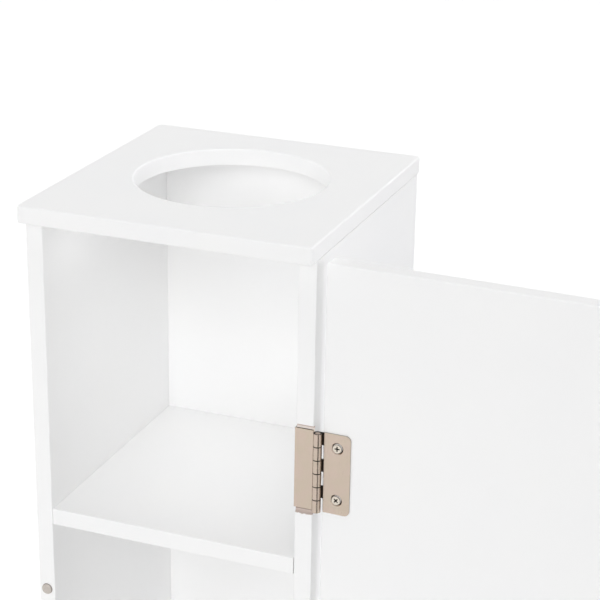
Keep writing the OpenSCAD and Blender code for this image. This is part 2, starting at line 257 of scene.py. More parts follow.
def raw_fibreboard():
    """Routed fibreboard: short fibres, white overspray above each hinge and a painted shadow under its lower edge.
    """
    raw = Finish("raw_fibreboard")
    spray_end = 29.1 * MM
    # Heights, from each hinge's middle, of the dark band of painted shadow under the leaf's lower edge
    leaf_shadow_start, leaf_shadow_end = -29 * MM, -27 * MM
    half_gap = (hinge_z["upper"] - hinge_z["lower"]) / 2
    height = raw.node("ShaderNodeSeparateXYZ", {"Vector": raw.place}).outputs["Z"]
    above = raw.math("WRAP", raw.math("SUBTRACT", height, hinge_z["upper"]), half_gap, -half_gap)
    fibres = raw.clouds(0.5 * MM, 4, raw.stretch((1, 1, 3)))
    bare = raw.blend(fibres, (0.534, 0.433, 0.390, 1), (0.79, 0.675, 0.614, 1))
    sprayed = raw.remap(above, -1 * MM, 1 * MM, 0.1, 0.75)
    sprayed = raw.math("SUBTRACT", sprayed, raw.remap(above, spray_end, spray_end + 0.3 * MM, 0, 1.2))
    blots = raw.math("MULTIPLY", raw.clouds(1.2 * MM, 3), 0.4)
    overspray = raw.remap(raw.math("ADD", sprayed, blots), 0.45, 0.75, 0, 1)
    colour = raw.blend(overspray, bare, (0.94, 0.86, 0.80, 1))
    # Painted shadow of the hinge leaf: a dark brown band on the fibreboard just under the leaf's lower edge
    leaf_shadow = raw.remap(above, leaf_shadow_start, leaf_shadow_start + 0.5 * MM, 0, 0.85)
    leaf_shadow = raw.math("MULTIPLY", leaf_shadow, raw.remap(above, leaf_shadow_end, leaf_shadow_end + 1 * MM, 1, 0))
    colour = raw.blend(leaf_shadow, colour, (0.20, 0.155, 0.12, 1))
    return raw.use(
        Base_Color=colour, Roughness=0.85, Specular_IOR_Level=0.2, Normal=raw.bump(fibres, 0.03 * MM))


raw_board = raw_fibreboard()

side_eases = (end_edge_ease, end_edge_ease, long_edge_ease)
left_side = board("left_side", *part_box("left_side_panel"), side_eases)
right_side = board("right_side", *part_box("right_side_panel"), side_eases)
for side in (left_side, right_side):
    drill(side, dowel_fit, "top_dowels", "shelf_dowels", "bottom_dowels", "plinth_dowels")
    drill(side, groove_fit, "back_panel")
drill(left_side, magnet_fit, "catch_magnet")

mortise_up = 31 * MM
mortise_down = 31.5 * MM
mortise_overcut = 1 * MM
tear_step = 0.15 * MM
tear_depth = 0.5 * MM
tear_slope = 0.8 * MM
coarse_tears_per_m = 900
fine_tears_per_m = 2600
leaf_low, leaf_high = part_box("upper_hinge_frame_leaf")
panel_low, panel_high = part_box("right_side_panel")
leaf_t = panel_low.x - leaf_low.x
axis = Vector(frame["joints"][0]["pos_m"])
barrel_r = leaf_high.x - axis.x
mortise_floor_y = axis.y + barrel_r


def mortise_cutter(middle_z):
    """Block with a torn lower end, where the cutter left the painted edge."""
    shape = bmesh.new()
    start, end = panel_low.x - mortise_overcut, panel_high.x + mortise_overcut
    steps = round((end - start) / tear_step)
    outline = [(end, middle_z + mortise_up, 0), (start, middle_z + mortise_up, 0)]
    for i in range(steps + 1):
        x = start + i * (end - start) / steps
        coarse_tear = noise.noise(Vector((x * coarse_tears_per_m, middle_z * 50, 3)))
        fine_tear = noise.noise(Vector((x * fine_tears_per_m, middle_z, 7)))
        low_edge = middle_z - mortise_down + (coarse_tear + fine_tear) * tear_depth
        outline.append((x, low_edge, tear_slope))
    front = [shape.verts.new((x, panel_low.y - mortise_overcut, z)) for x, z, slope in outline]
    floor = [shape.verts.new((x, mortise_floor_y, z + slope)) for x, z, slope in outline]
    shape.faces.new(front)
    shape.faces.new(floor[::-1])
    for i in range(len(outline)):
        j = (i + 1) % len(outline)
        shape.faces.new((front[j], front[i], floor[i]))
        shape.faces.new((front[j], floor[i], floor[j]))
    bmesh.ops.recalc_face_normals(shape, faces=shape.faces)
    return new_piece("mortise_cutter", shape, raw_board)


for z in hinge_z.values():
    boolean(right_side, mortise_cutter(z))


def screw_seat(place, direction, head_r):
    """Cutter for the cone that a screw's head and neck sink into, at a point on a board's face."""
    tip_r = 0.1 * MM
    shape = bmesh.new()
    bmesh.ops.create_cone(shape, cap_ends=True, segments=32, radius1=tip_r, radius2=head_r, depth=head_r)
    turn = direction.to_track_quat("Z", "Y").to_matrix().to_4x4()
    matrix = Matrix.Translation(place - direction * (head_r / 2 - tip_r)) @ turn
    return put(new_piece("screw_seat", shape, raw_board), matrix)


for end in hinge_z:
    low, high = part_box(end + "_hinge_frame_screws")
    screw_head_r = (high.y - low.y) / 2
    for z in (low.z + screw_head_r, high.z - screw_head_r):
        place = Vector((panel_low.x, (low.y + high.y) / 2, z))
        boolean(right_side, screw_seat(place, Vector((-1, 0, 0)), screw_head_r))
finish(left_side, "cabinet", "painted_board", "left_side_panel")
finish(right_side, "cabinet", "painted_board", "right_side_panel")


# ---- Bottom panel, shelf, plinth and back panel ----
# Painted fibreboard like the side panels. The first three stand between the side panels on dowels, and
# their long edges are eased. The back panel is thinner, slid up into grooves and pinned to the shelf and
# bottom panel.
cross_eases = (long_edge_ease, end_edge_ease, end_edge_ease)
for name, node, dowels in (
    ("bottom_board", "bottom_panel", "bottom_dowels"),
    ("fixed_shelf", "shelf", "shelf_dowels"),
    ("plinth_board", "plinth", "plinth_dowels"),
):
    piece = board(name, *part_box(node), cross_eases)
    drill(piece, dowel_fit, dowels)
    finish(piece, "cabinet", "painted_board", node)

back_ease = 0.3 * MM
back_board = board("back_board", *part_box("back_panel"), (back_ease,) * 3)
finish(back_board, "cabinet", "painted_board", "back_panel")


# ---- Top board ----
# Painted fibreboard with rounded edges and corners. The roll hole is bored with a hole saw, its rims are
# eased with a router, and it is painted inside.
top_edge_r = 1.5 * MM
top_corner_r = 3 * MM
rim_top_r = 1.2 * MM
rim_low_r = 0.8 * MM
hole = next(m for m in frame["record"]["mounts"] if m["name"] == "roll_hole")
hole_r = hole["dims"]["r_mm"] * MM


def arc(centre, radius, start, end, steps):
    """Points of an arc in a turned outline, from one angle in degrees to another."""
    angles = [math.radians(start + (end - start) * i / steps) for i in range(steps + 1)]
    return [(centre[0] + radius * math.cos(a), centre[1] + radius * math.sin(a)) for a in angles]


def turned(name, outline, material, steps=64):
    """Closed solid from an outline of (radius, height) points, turned about Z."""
    shape = bmesh.new()
    rings = []
    for turn in range(steps):
        angle = 2 * math.pi * turn / steps
        rings.append([shape.verts.new((r * math.cos(angle), r * math.sin(angle), z)) for r, z in outline])
    for turn in range(steps):
        here, there = rings[turn], rings[(turn + 1) % steps]
        for i in range(len(outline)):
            j = (i + 1) % len(outline)
            if outline[i][0] > 0 or outline[j][0] > 0:
                shape.faces.new((here[i], here[j], there[j], there[i]))
    bmesh.ops.remove_doubles(shape, verts=shape.verts, dist=0.001 * MM)
    bmesh.ops.recalc_face_normals(shape, faces=shape.faces)
    return new_piece(name, shape, material)


def top_board():
    low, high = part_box("top_board")
    thick = high.z - low.z
    past = 1 * MM
    outline = [(0, -past), (hole_r + rim_low_r, -past)]
    outline += arc((hole_r + rim_low_r, rim_low_r), rim_low_r, 270, 180, 6)
    outline += arc((hole_r + rim_top_r, thick - rim_top_r), rim_top_r, 180, 90, 8)
    outline += [(hole_r + rim_top_r, thick + past), (0, thick + past)]
    piece = board("top", low, high, (top_edge_r, top_edge_r, top_corner_r))
    cutter = turned("hole_cutter", outline, satin_white, 180)
    put(cutter, Matrix.Translation((hole["pos_m"][0], hole["pos_m"][1], low.z)))
    boolean(piece, cutter)
    drill(piece, dowel_fit, "top_dowels")
    drill(piece, groove_fit, "back_panel")
    return piece


finish(top_board(), "cabinet", "painted_board", "top_board")


# ---- Dowels ----
# Fluted beech dowels, four to a board: upright under the top board, and level in the ends of the shelf, the
# bottom panel and the plinth. They are glued in. Their ends are chamfered, and the flutes let the glue out.
dowel_flutes = 12
dowel_chamfer = 0.6 * MM
flute_depth = 0.16 * MM
top_dowel_low, top_dowel_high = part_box("top_dowels")
shelf_dowel_low, shelf_dowel_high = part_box("shelf_dowels")
dowel_length = top_dowel_high.z - top_dowel_low.z
dowel_r = (shelf_dowel_high.z - shelf_dowel_low.z) / 2


def geometry_tree(name, inputs):
    """Empty Geometry Nodes tree, its named inputs, and a function that adds a node and gives its output."""
    tree = bpy.data.node_groups.new(name, "GeometryNodeTree")
    tree.interface.new_socket("Geometry", in_out="INPUT", socket_type="NodeSocketGeometry")
    for title, kind in inputs.items():
        tree.interface.new_socket(title, in_out="INPUT", socket_type="NodeSocket" + kind)
    tree.interface.new_socket("Geometry", in_out="OUTPUT", socket_type="NodeSocketGeometry")
    given = tree.nodes.new("NodeGroupInput")

    def add(kind, wires, output=0, **settings):
        return add_node(tree, kind, wires, **settings).outputs[output]

    return tree, given.outputs, add


def grow(piece, tree, values):
    """Runs a Geometry Nodes tree on a piece and keeps the result as its mesh."""
    modifier = piece.modifiers.new(tree.name, "NODES")
    modifier.node_group = tree
    for socket in tree.interface.items_tree:
        if socket.in_out == "INPUT" and socket.name in values:
            modifier[socket.identifier] = values[socket.name]
    return bake(piece)


def rows_tree():
    """Copies the piece that it is put on in two directions, and joins the copies."""
    tree, given, add = geometry_tree("rows_of_a_piece", {
        "First place": "Vector", "Step": "Vector", "Count": "Int", "Row step": "Vector", "Rows": "Int",
        "Material": "Material"})
    row = add("GeometryNodeMeshLine", {"Count": given["Count"], "Offset": given["Step"]})
    rows = add("GeometryNodeMeshLine", {
        "Count": given["Rows"], "Start Location": given["First place"], "Offset": given["Row step"]})
    grid = add("GeometryNodeInstanceOnPoints", {"Points": rows, "Instance": row})
    points = add("GeometryNodeRealizeInstances", {"Geometry": grid})
    copies = add("GeometryNodeInstanceOnPoints", {"Points": points, "Instance": given["Geometry"]})
    solid = add("GeometryNodeRealizeInstances", {"Geometry": copies})
    painted = add("GeometryNodeSetMaterial", {"Geometry": solid, "Material": given["Material"]})
    add_node(tree, "NodeGroupOutput", {0: painted})
    return tree


rows_of_a_piece = rows_tree()


def in_rows(piece, first, step, count, row_step, rows, material):
    """Turns a piece into rows of copies of it, from the first one's place."""
    return grow(piece, rows_of_a_piece, {
        "First place": first, "Step": step, "Count": count, "Row step": row_step, "Rows": rows,
        "Material": material})


def beech_wood():
    beech = Finish("beech")
    along = beech.stretch((0.12, 1, 1))
    grain = beech.clouds(0.5 * MM, 4, along)
    flecks = beech.clouds(0.25 * MM, 1, along)
    colour = beech.blend(grain, (0.50, 0.33, 0.19, 1), (0.68, 0.50, 0.31, 1))
    colour = beech.blend(beech.remap(flecks, 0.62, 0.7, 0, 0.6), colour, (0.36, 0.22, 0.12, 1))
    return beech.use(Base_Color=colour, Roughness=0.7, Normal=beech.bump(grain, 0.05 * MM))


beech = beech_wood()


def join_rings(shape, lower, upper):
    """Faces between two closed rings of points."""
    for i in range(len(lower)):
        j = (i + 1) % len(lower)
        shape.faces.new((lower[i], lower[j], upper[j], upper[i]))


def fluted_dowel(name, radius):
    """One dowel along Z, centred on the origin. Each ring of its points is a circle with flutes."""
    shape = bmesh.new()
    points = dowel_flutes * 6
    end = dowel_length / 2
    ends = [(-end, dowel_chamfer), (dowel_chamfer - end, 0), (end - dowel_chamfer, 0), (end, dowel_chamfer)]
    rings = []
    for z, drawn_in in ends:
        ring = []
        for i in range(points):
            angle = 2 * math.pi * i / points
            r = radius - drawn_in - flute_depth * max(0, math.sin(dowel_flutes * angle))
            ring.append(shape.verts.new((r * math.cos(angle), r * math.sin(angle), z)))
        rings.append(ring)
    for lower, upper in zip(rings, rings[1:]):
        join_rings(shape, lower, upper)
    shape.faces.new(rings[0][::-1])
    shape.faces.new(rings[-1])
    return new_piece(name, shape)


def dowel_set(name, node, upright):
    """The four dowels of one CAD node, at the corners of its box."""
    low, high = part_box(node)
    radius = min(dowel_r, *((high - low) / 2))
    piece = fluted_dowel(name, radius)
    half = Vector((radius, radius, dowel_length / 2))
    if not upright:
        put(piece, Matrix.Rotation(math.pi / 2, 4, "Y"))
        half = half.zyx
    first, last = low + half, high - half
    across = Vector((last.x - first.x, 0, 0))
    other = Vector((0, last.y - first.y, last.z - first.z))
    in_rows(piece, first, across, 2, other, 2, beech)
    finish(piece, "cabinet", "dowel_wood", node, crease=50)


dowel_set("dowels_under_top", "top_dowels", True)
dowel_set("dowels_of_shelf", "shelf_dowels", False)
dowel_set("dowels_of_bottom", "bottom_dowels", False)
dowel_set("dowels_of_plinth", "plinth_dowels", False)


# ---- Brads in the back panel ----
# Zinc-plated steel brads with small flat heads, driven through the back panel from behind: three into the
# shelf's back edge and three into the bottom panel's.
def spotted(name, spot, detail, dark, light, gloss, metallic=1.0):
    """Finish that varies between two colours and two roughnesses, in spots of about that size."""
    look = Finish(name)
    spots = look.clouds(spot, detail)
    return look.use(
        Base_Color=look.blend(spots, dark, light), Metallic=metallic,
        Roughness=look.remap(spots, 0.3, 0.7, *gloss), Normal=look.bump(spots, 0.01 * MM))


zinc_plate = spotted(
    "zinc_plate", 0.8 * MM, 2, (0.60, 0.61, 0.63, 1), (0.78, 0.78, 0.79, 1), (0.28, 0.44))
brad_r = 0.6 * MM
brad_head_r = 1.3 * MM
brad_head_h = 0.5 * MM
brad_point = 1.5 * MM
brad_soft = 0.1 * MM
brad_low, brad_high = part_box("back_brads")
brad_length = brad_high.y - brad_low.y - brad_head_h
brad_outline = [(0, -brad_length), (brad_r, brad_point - brad_length), (brad_r, 0)]
brad_outline += [(brad_head_r - brad_soft, 0), (brad_head_r, 1.5 * brad_soft)]
brad_outline += [(brad_head_r, brad_head_h - 1.5 * brad_soft), (brad_head_r - 2 * brad_soft, brad_head_h)]
brad_outline += [(0, brad_head_h)]
brads = turned("back_pins", brad_outline, zinc_plate, 20)
put(brads, Matrix.Rotation(-math.pi / 2, 4, "X"))
first_brad = Vector((brad_low.x + brad_head_r, brad_high.y - brad_head_h, brad_low.z + brad_head_r))
last_brad = Vector((brad_high.x - brad_head_r, brad_high.y - brad_head_h, brad_high.z - brad_head_r))
brad_step = Vector(((last_brad.x - first_brad.x) / 2, 0, 0))
in_rows(brads, first_brad, brad_step, 3, Vector((0, 0, last_brad.z - first_brad.z)), 2, zinc_plate)
finish(brads, "cabinet", "fixing_steel", "back_brads")


# ---- Glides ----
# Round white plastic glides under the corners of the side panels. Each is held by a zinc-plated nail
# through its middle, with the nail's head sunk out of the floor's way.
plastic_white = spotted(
    "glide_plastic", 1.5 * MM, 3, (0.80, 0.80, 0.79, 1), (0.88, 0.88, 0.865, 1), (0.35, 0.6), metallic=0.0)
glide_r = 5.5 * MM
glide_edge_r = 1.2 * MM
glide_chamfer = 0.3 * MM
nail_r = 0.9 * MM
nail_head_r = 2 * MM
nail_head_h = 0.8 * MM
nail_head_soft = 0.4 * MM
nail_point = 2 * MM
nail_fit = 0.05 * MM
glide_low, glide_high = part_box("foot_glides")
nail_low, nail_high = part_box("glide_nails")
glide_h = glide_high.z - glide_low.z
nail_head_z = nail_low.z - glide_low.z
nail_neck_z = nail_head_z + nail_head_h
glide_outline = arc((glide_r - glide_edge_r, glide_edge_r), glide_edge_r, 270, 360, 6)
glide_outline += [(glide_r, glide_h - glide_chamfer), (glide_r - glide_chamfer, glide_h)]
glide_outline += [(nail_r + nail_fit, glide_h), (nail_r + nail_fit, nail_neck_z + nail_fit)]
glide_outline += [(nail_head_r + nail_fit, nail_neck_z + nail_fit)]
glide_outline += [(nail_head_r + nail_fit, nail_head_soft), (nail_head_r + nail_head_soft, 0)]
nail_outline = [(0, nail_head_z), (nail_head_r - nail_head_soft, nail_head_z)]
nail_outline += [(nail_head_r, nail_head_z + glide_chamfer), (nail_head_r, nail_neck_z)]
nail_outline += [(nail_r, nail_neck_z), (nail_r, nail_high.z - nail_point), (0, nail_high.z)]
glide_first = Vector((glide_low.x + glide_r, glide_low.y + glide_r, 0))
glide_span = Vector((glide_high.x - glide_low.x - 2 * glide_r, glide_high.y - glide_low.y - 2 * glide_r, 0))
for name, outline, material, slot, node in (
    ("glides", glide_outline, plastic_white, "glide_plastic", "foot_glides"),
    ("nails_in_glides", nail_outline, zinc_plate, "fixing_steel", "glide_nails"),
):
    piece = turned(name, outline, material, 40)
    in_rows(piece, glide_first, Vector((glide_span.x, 0, 0)), 2, Vector((0, glide_span.y, 0)), 2, material)
    finish(piece, "cabinet", slot, node)


# ---- Catch magnet ----
# Nickel-plated round magnet with eased rims, pressed and glued into a bore in the front edge of the left
# side panel. It stands a little proud, to meet the strike disc on the door.
magnet_nickel = spotted(
    "magnet_nickel", 1.1 * MM, 3, (0.367, 0.333, 0.303, 1), (0.573, 0.530, 0.488, 1), (0.3, 0.5))
magnet_rim = 0.5 * MM
magnet_low, magnet_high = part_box("catch_magnet")
magnet_r = (magnet_high.x - magnet_low.x) / 2
magnet_l = magnet_high.y - magnet_low.y
magnet_outline = [(0, 0)] + arc((magnet_r - magnet_rim, magnet_rim), magnet_rim, 270, 360, 5)
magnet_outline += arc((magnet_r - magnet_rim, magnet_l - magnet_rim), magnet_rim, 0, 90, 5)
magnet_outline += [(0, magnet_l)]
magnet = turned("round_magnet", magnet_outline, magnet_nickel)
magnet_middle = (magnet_low + magnet_high) / 2


def turn_to(place, degrees, about):
    """Matrix that turns a piece about an axis through the origin and moves it to its place."""
    return Matrix.Translation(place) @ Matrix.Rotation(math.radians(degrees), 4, about)


put(magnet, turn_to((magnet_middle.x, magnet_high.y, magnet_middle.z), 90, "X"))
finish(magnet, "cabinet", "catch_nickel", "catch_magnet")


# ---- Hinges ----
# Each hinge is two leaves of 1 mm steel sheet, blanked, countersunk and plated in satin nickel, with
# tongues rolled round a steel pin. The frame leaf is also bent round the side panel's inner corner, where
# its screws are hidden, and the door leaf lies on the door's inner face.
hinge_low, hinge_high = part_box("upper_hinge_pin")
hinge_h = hinge_high.z - hinge_low.z
knuckle_count = 6
knuckle_gap = 0.7 * MM
pin_r = (hinge_high.x - hinge_low.x) / 2
bore_r = barrel_r - leaf_t
notch_x = barrel_r + 0.9 * MM
bend_x = axis.x - panel_low.x
flange_d = leaf_high.y - mortise_floor_y + leaf_t
leaf_corner_r = 3.5 * MM
door_leaf_w = 21.5 * MM
leaf_screw_gap = 36 * MM
frame_screw_share = 0.58
door_screw_out = 12.5 * MM
door_screw_sag = 0.3 * MM
door_screw_play = 0.25 * MM
seat_r = 4.1 * MM
curl_end_deg = 152
leaf_edge = 0.13 * MM


def satin_nickel_plate():
    """Satin nickel, warm, a little pinker and yellower in broad patches, with fine upright brush lines."""
    plate = Finish("satin_nickel")
    patches = plate.remap(plate.clouds(9 * MM, 1), 0.35, 0.65, 0, 1)
    colour = plate.blend(patches, (0.484, 0.409, 0.333, 1), (0.500, 0.407, 0.346, 1))
    lines = plate.clouds(0.25 * MM, 2, plate.stretch((1, 1, 0.05)))
    grain = plate.clouds(0.3 * MM, 2)
    colour = plate.blend(plate.math("MULTIPLY", grain, 0.25), colour, (0.445, 0.371, 0.306, 1))
    skin = plate.bump(lines, 0.003 * MM, 0.6)
    skin = plate.bump(grain, 0.004 * MM, 0.6, skin)
    gloss = plate.remap(lines, 0.3, 0.7, 0.19, 0.28)
    return plate.use(Base_Color=colour, Metallic=1.0, Roughness=gloss, Normal=skin)


satin_nickel = satin_nickel_plate()
# The same plating where it is thin, on sheared edges; and near-black painted shade inside the knuckles, between
# them and in recesses
sheared_nickel = spotted(
    "sheared_nickel", 0.4 * MM, 3, (0.28, 0.26, 0.23, 1), (0.46, 0.43, 0.39, 1), (0.4, 0.55))
painted_shade_nickel = spotted(
    "painted_shade_nickel", 0.4 * MM, 3, (0.012, 0.009, 0.008, 1), (0.05, 0.04, 0.033, 1), (0.4, 0.55))


def replate(piece, material, chosen):
    """Gives the chosen faces of a piece another material."""
    piece.data.materials.append(material)
    for face in piece.data.polygons:
        if chosen(face):
            face.material_index = len(piece.data.materials) - 1
    return piece


def pushed_out(name, outline, low, high):
    """Plated solid from a closed outline of (x, y) points, from one height to another."""
    shape = bmesh.new()
    lower = [shape.verts.new((x, y, low)) for x, y in outline]
    upper = [shape.verts.new((x, y, high)) for x, y in outline]
    shape.faces.new(lower[::-1])
    shape.faces.new(upper)
    join_rings(shape, lower, upper)
    bmesh.ops.recalc_face_normals(shape, faces=shape.faces)
    return new_piece(name, shape, satin_nickel)


def rolled_knuckles(first):
    """Every second tongue of a leaf that runs off towards -X, rolled round Z. The top one is number 0."""
    tongue = [(-notch_x, bore_r)] + arc((0, 0), bore_r, 90, curl_end_deg - 360, 36)
    tongue += arc((0, 0), barrel_r, curl_end_deg - 360, 90, 40) + [(-notch_x, barrel_r)]
    pitch = hinge_h / knuckle_count
    piece = pushed_out("tongues", tongue, 0, pitch - knuckle_gap)
    lowest = hinge_h / 2 - (first + knuckle_count - 1) * pitch + knuckle_gap / 2
    step = Vector((0, 0, 2 * pitch))
    in_rows(piece, Vector((0, 0, lowest)), step, knuckle_count // 2, Vector((0, 0, 0)), 1, satin_nickel)

    # Painted shade: the tongues' ends and their insides round the pin, which face the gaps between knuckles, get
    # the near-black material
    def end_or_inside(face):
        to_axis = math.hypot(face.center.x, face.center.y)
        inside_flat = face.center.x < 0 and abs(face.center.y - bore_r) < 0.01 * MM
        return abs(face.normal.z) > 0.9 or to_axis < bore_r + 0.1 * MM or inside_flat

    return replate(piece, painted_shade_nickel, end_or_inside)


def leaf_blank(width):
    """Plate in X and Z from the origin towards -X, its two far corners rounded, its thickness along +Y."""
    r = leaf_corner_r
    outline = [(0, -hinge_h / 2), (0, hinge_h / 2)]
    outline += arc((r - width, hinge_h / 2 - r), r, 90, 180, 10)
    outline += arc((r - width, r - hinge_h / 2), r, 180, 270, 10)
    piece = pushed_out("leaf", outline, 0, leaf_t)
    replate(piece, sheared_nickel, lambda face: abs(face.normal.z) < 0.5 and face.normal.x < 0.5)
    return put(piece, turn_to((0, leaf_t, 0), 90, "X"))


def countersink(leaf, place, degrees, about):
    """Cuts a screw's seat into a leaf, a cone with its wide end at the place and its axis turned from Z."""
    past = 1 * MM
    outline = [(0, -leaf_t - past), (seat_r - leaf_t - past, -leaf_t - past)]
    outline += [(seat_r, 0), (seat_r, past), (0, past)]
    cutter = turned("seat_cutter", outline, satin_nickel, 48)
    boolean(leaf, put(cutter, turn_to(place, degrees, about)))


def darken_knuckle_rims(leaf):
    """Painted shade on the rims that face a neighbouring knuckle."""
    dark = leaf.data.materials.find("painted_shade_nickel")
    for face in leaf.data.polygons:
        on_barrel = math.hypot(face.center.x, face.center.y) < barrel_r + 0.02 * MM
        at_end = abs(face.center.z) > hinge_h / 2 - knuckle_gap
        if on_barrel and abs(face.normal.z) > 0.2 and not at_end:
            face.material_index = dark
    return leaf


def frame_leaf():
    """Frame leaf about an axis on Z at the origin."""
    leaf = leaf_blank(flange_d)
    put(leaf, turn_to((-bend_x, bore_r, 0), -90, "Z") @ Matrix.Translation((0, -leaf_t, 0)))
    corner = [(-notch_x, bore_r), (-notch_x, barrel_r), (-bend_x - leaf_t / 2, barrel_r)]
    corner += arc((-bend_x, barrel_r), leaf_t, 180, 270, 6)
    bend = pushed_out("bend", corner, -hinge_h / 2, hinge_h / 2)
    # The bend's ends, where the knuckles leave gaps, get painted shade
    boolean(leaf, replate(bend, painted_shade_nickel, lambda face: abs(face.normal.z) > 0.9), "UNION")
    boolean(leaf, rolled_knuckles(1), "UNION")
    for z in (-leaf_screw_gap / 2, leaf_screw_gap / 2):
        countersink(leaf, (-bend_x - leaf_t, bore_r + frame_screw_share * flange_d, z), -90, "Y")
    return darken_knuckle_rims(round_edges(leaf, leaf_edge, 35))


def door_leaf():
    """Door leaf of the shut door, about an axis on Z at the origin."""
    leaf = leaf_blank(door_leaf_w - notch_x)
    put(leaf, Matrix.Translation((-notch_x, bore_r, 0)))
    boolean(leaf, rolled_knuckles(0), "UNION")
    for z in (-leaf_screw_gap / 2, leaf_screw_gap / 2):
        countersink(leaf, (-door_screw_out, bore_r, z), 90, "X")
    darken_knuckle_rims(round_edges(leaf, leaf_edge, 35))
    put(leaf, Matrix.Scale(-1, 4, (0, 1, 0)))
    leaf.data.flip_normals()
    return leaf


door_angle = math.radians(-frame["joints"][0]["range_deg"][0])
open_door = Matrix.Translation(axis) @ Matrix.Rotation(door_angle, 4, "Z") @ Matrix.Translation(-axis)


def pin(name):
    """Hinge pin with rounded ends, a little shorter than the barrel."""
    sunk = 0.35 * MM
    soft = 0.3 * MM
    half = hinge_h / 2 - sunk
    outline = [(0, -half)] + arc((pin_r - soft, soft - half), soft, 270, 360, 4)
    outline += arc((pin_r - soft, half - soft), soft, 0, 90, 4) + [(0, half)]
    piece = turned(name, outline, satin_nickel, 40)
    # Painted shade on the pin's side, which shows only in the gaps between knuckles
    return replate(piece, painted_shade_nickel, lambda face: abs(face.normal.z) < 0.5)


for end, z in hinge_z.items():
    middle = Matrix.Translation((axis.x, axis.y, z))
    leaf = put(frame_leaf(), middle)
    leaf.name = end + "_frame_leaf"
    finish(leaf, "cabinet", "hinge_nickel", end + "_hinge_frame_leaf")
    leaf = put(door_leaf(), open_door @ middle)
    leaf.name = end + "_door_leaf"
    finish(leaf, "door", "hinge_nickel", end + "_hinge_door_leaf")
    finish(put(pin(end + "_pin"), middle), "cabinet", "hinge_nickel", end + "_hinge_pin")


# ---- Screws ----
# Small countersunk steel screws, bright nickel plated, with cross recesses and cut threads. Eight hold the
# hinge leaves and one more holds the strike disc.
bright_nickel = spotted(
    "bright_nickel", 0.5 * MM, 2, (0.50, 0.45, 0.385, 1), (0.70, 0.64, 0.56, 1), (0.2, 0.3))
screw_sizes = {
    "Head radius": 2.85 * MM, "Rim height": 0.6 * MM, "Head height": 1.8 * MM, "Shank radius": 1.15 * MM,
    "Length": 10 * MM, "Tip length": 2.5 * MM, "Thread height": 0.35 * MM, "Turns": 6.0,
    "Recess length": 3.5 * MM, "Recess width": 0.8 * MM, "Recess depth": 1.1 * MM}
head_sink = 0.45 * MM
screw_edge = 0.06 * MM


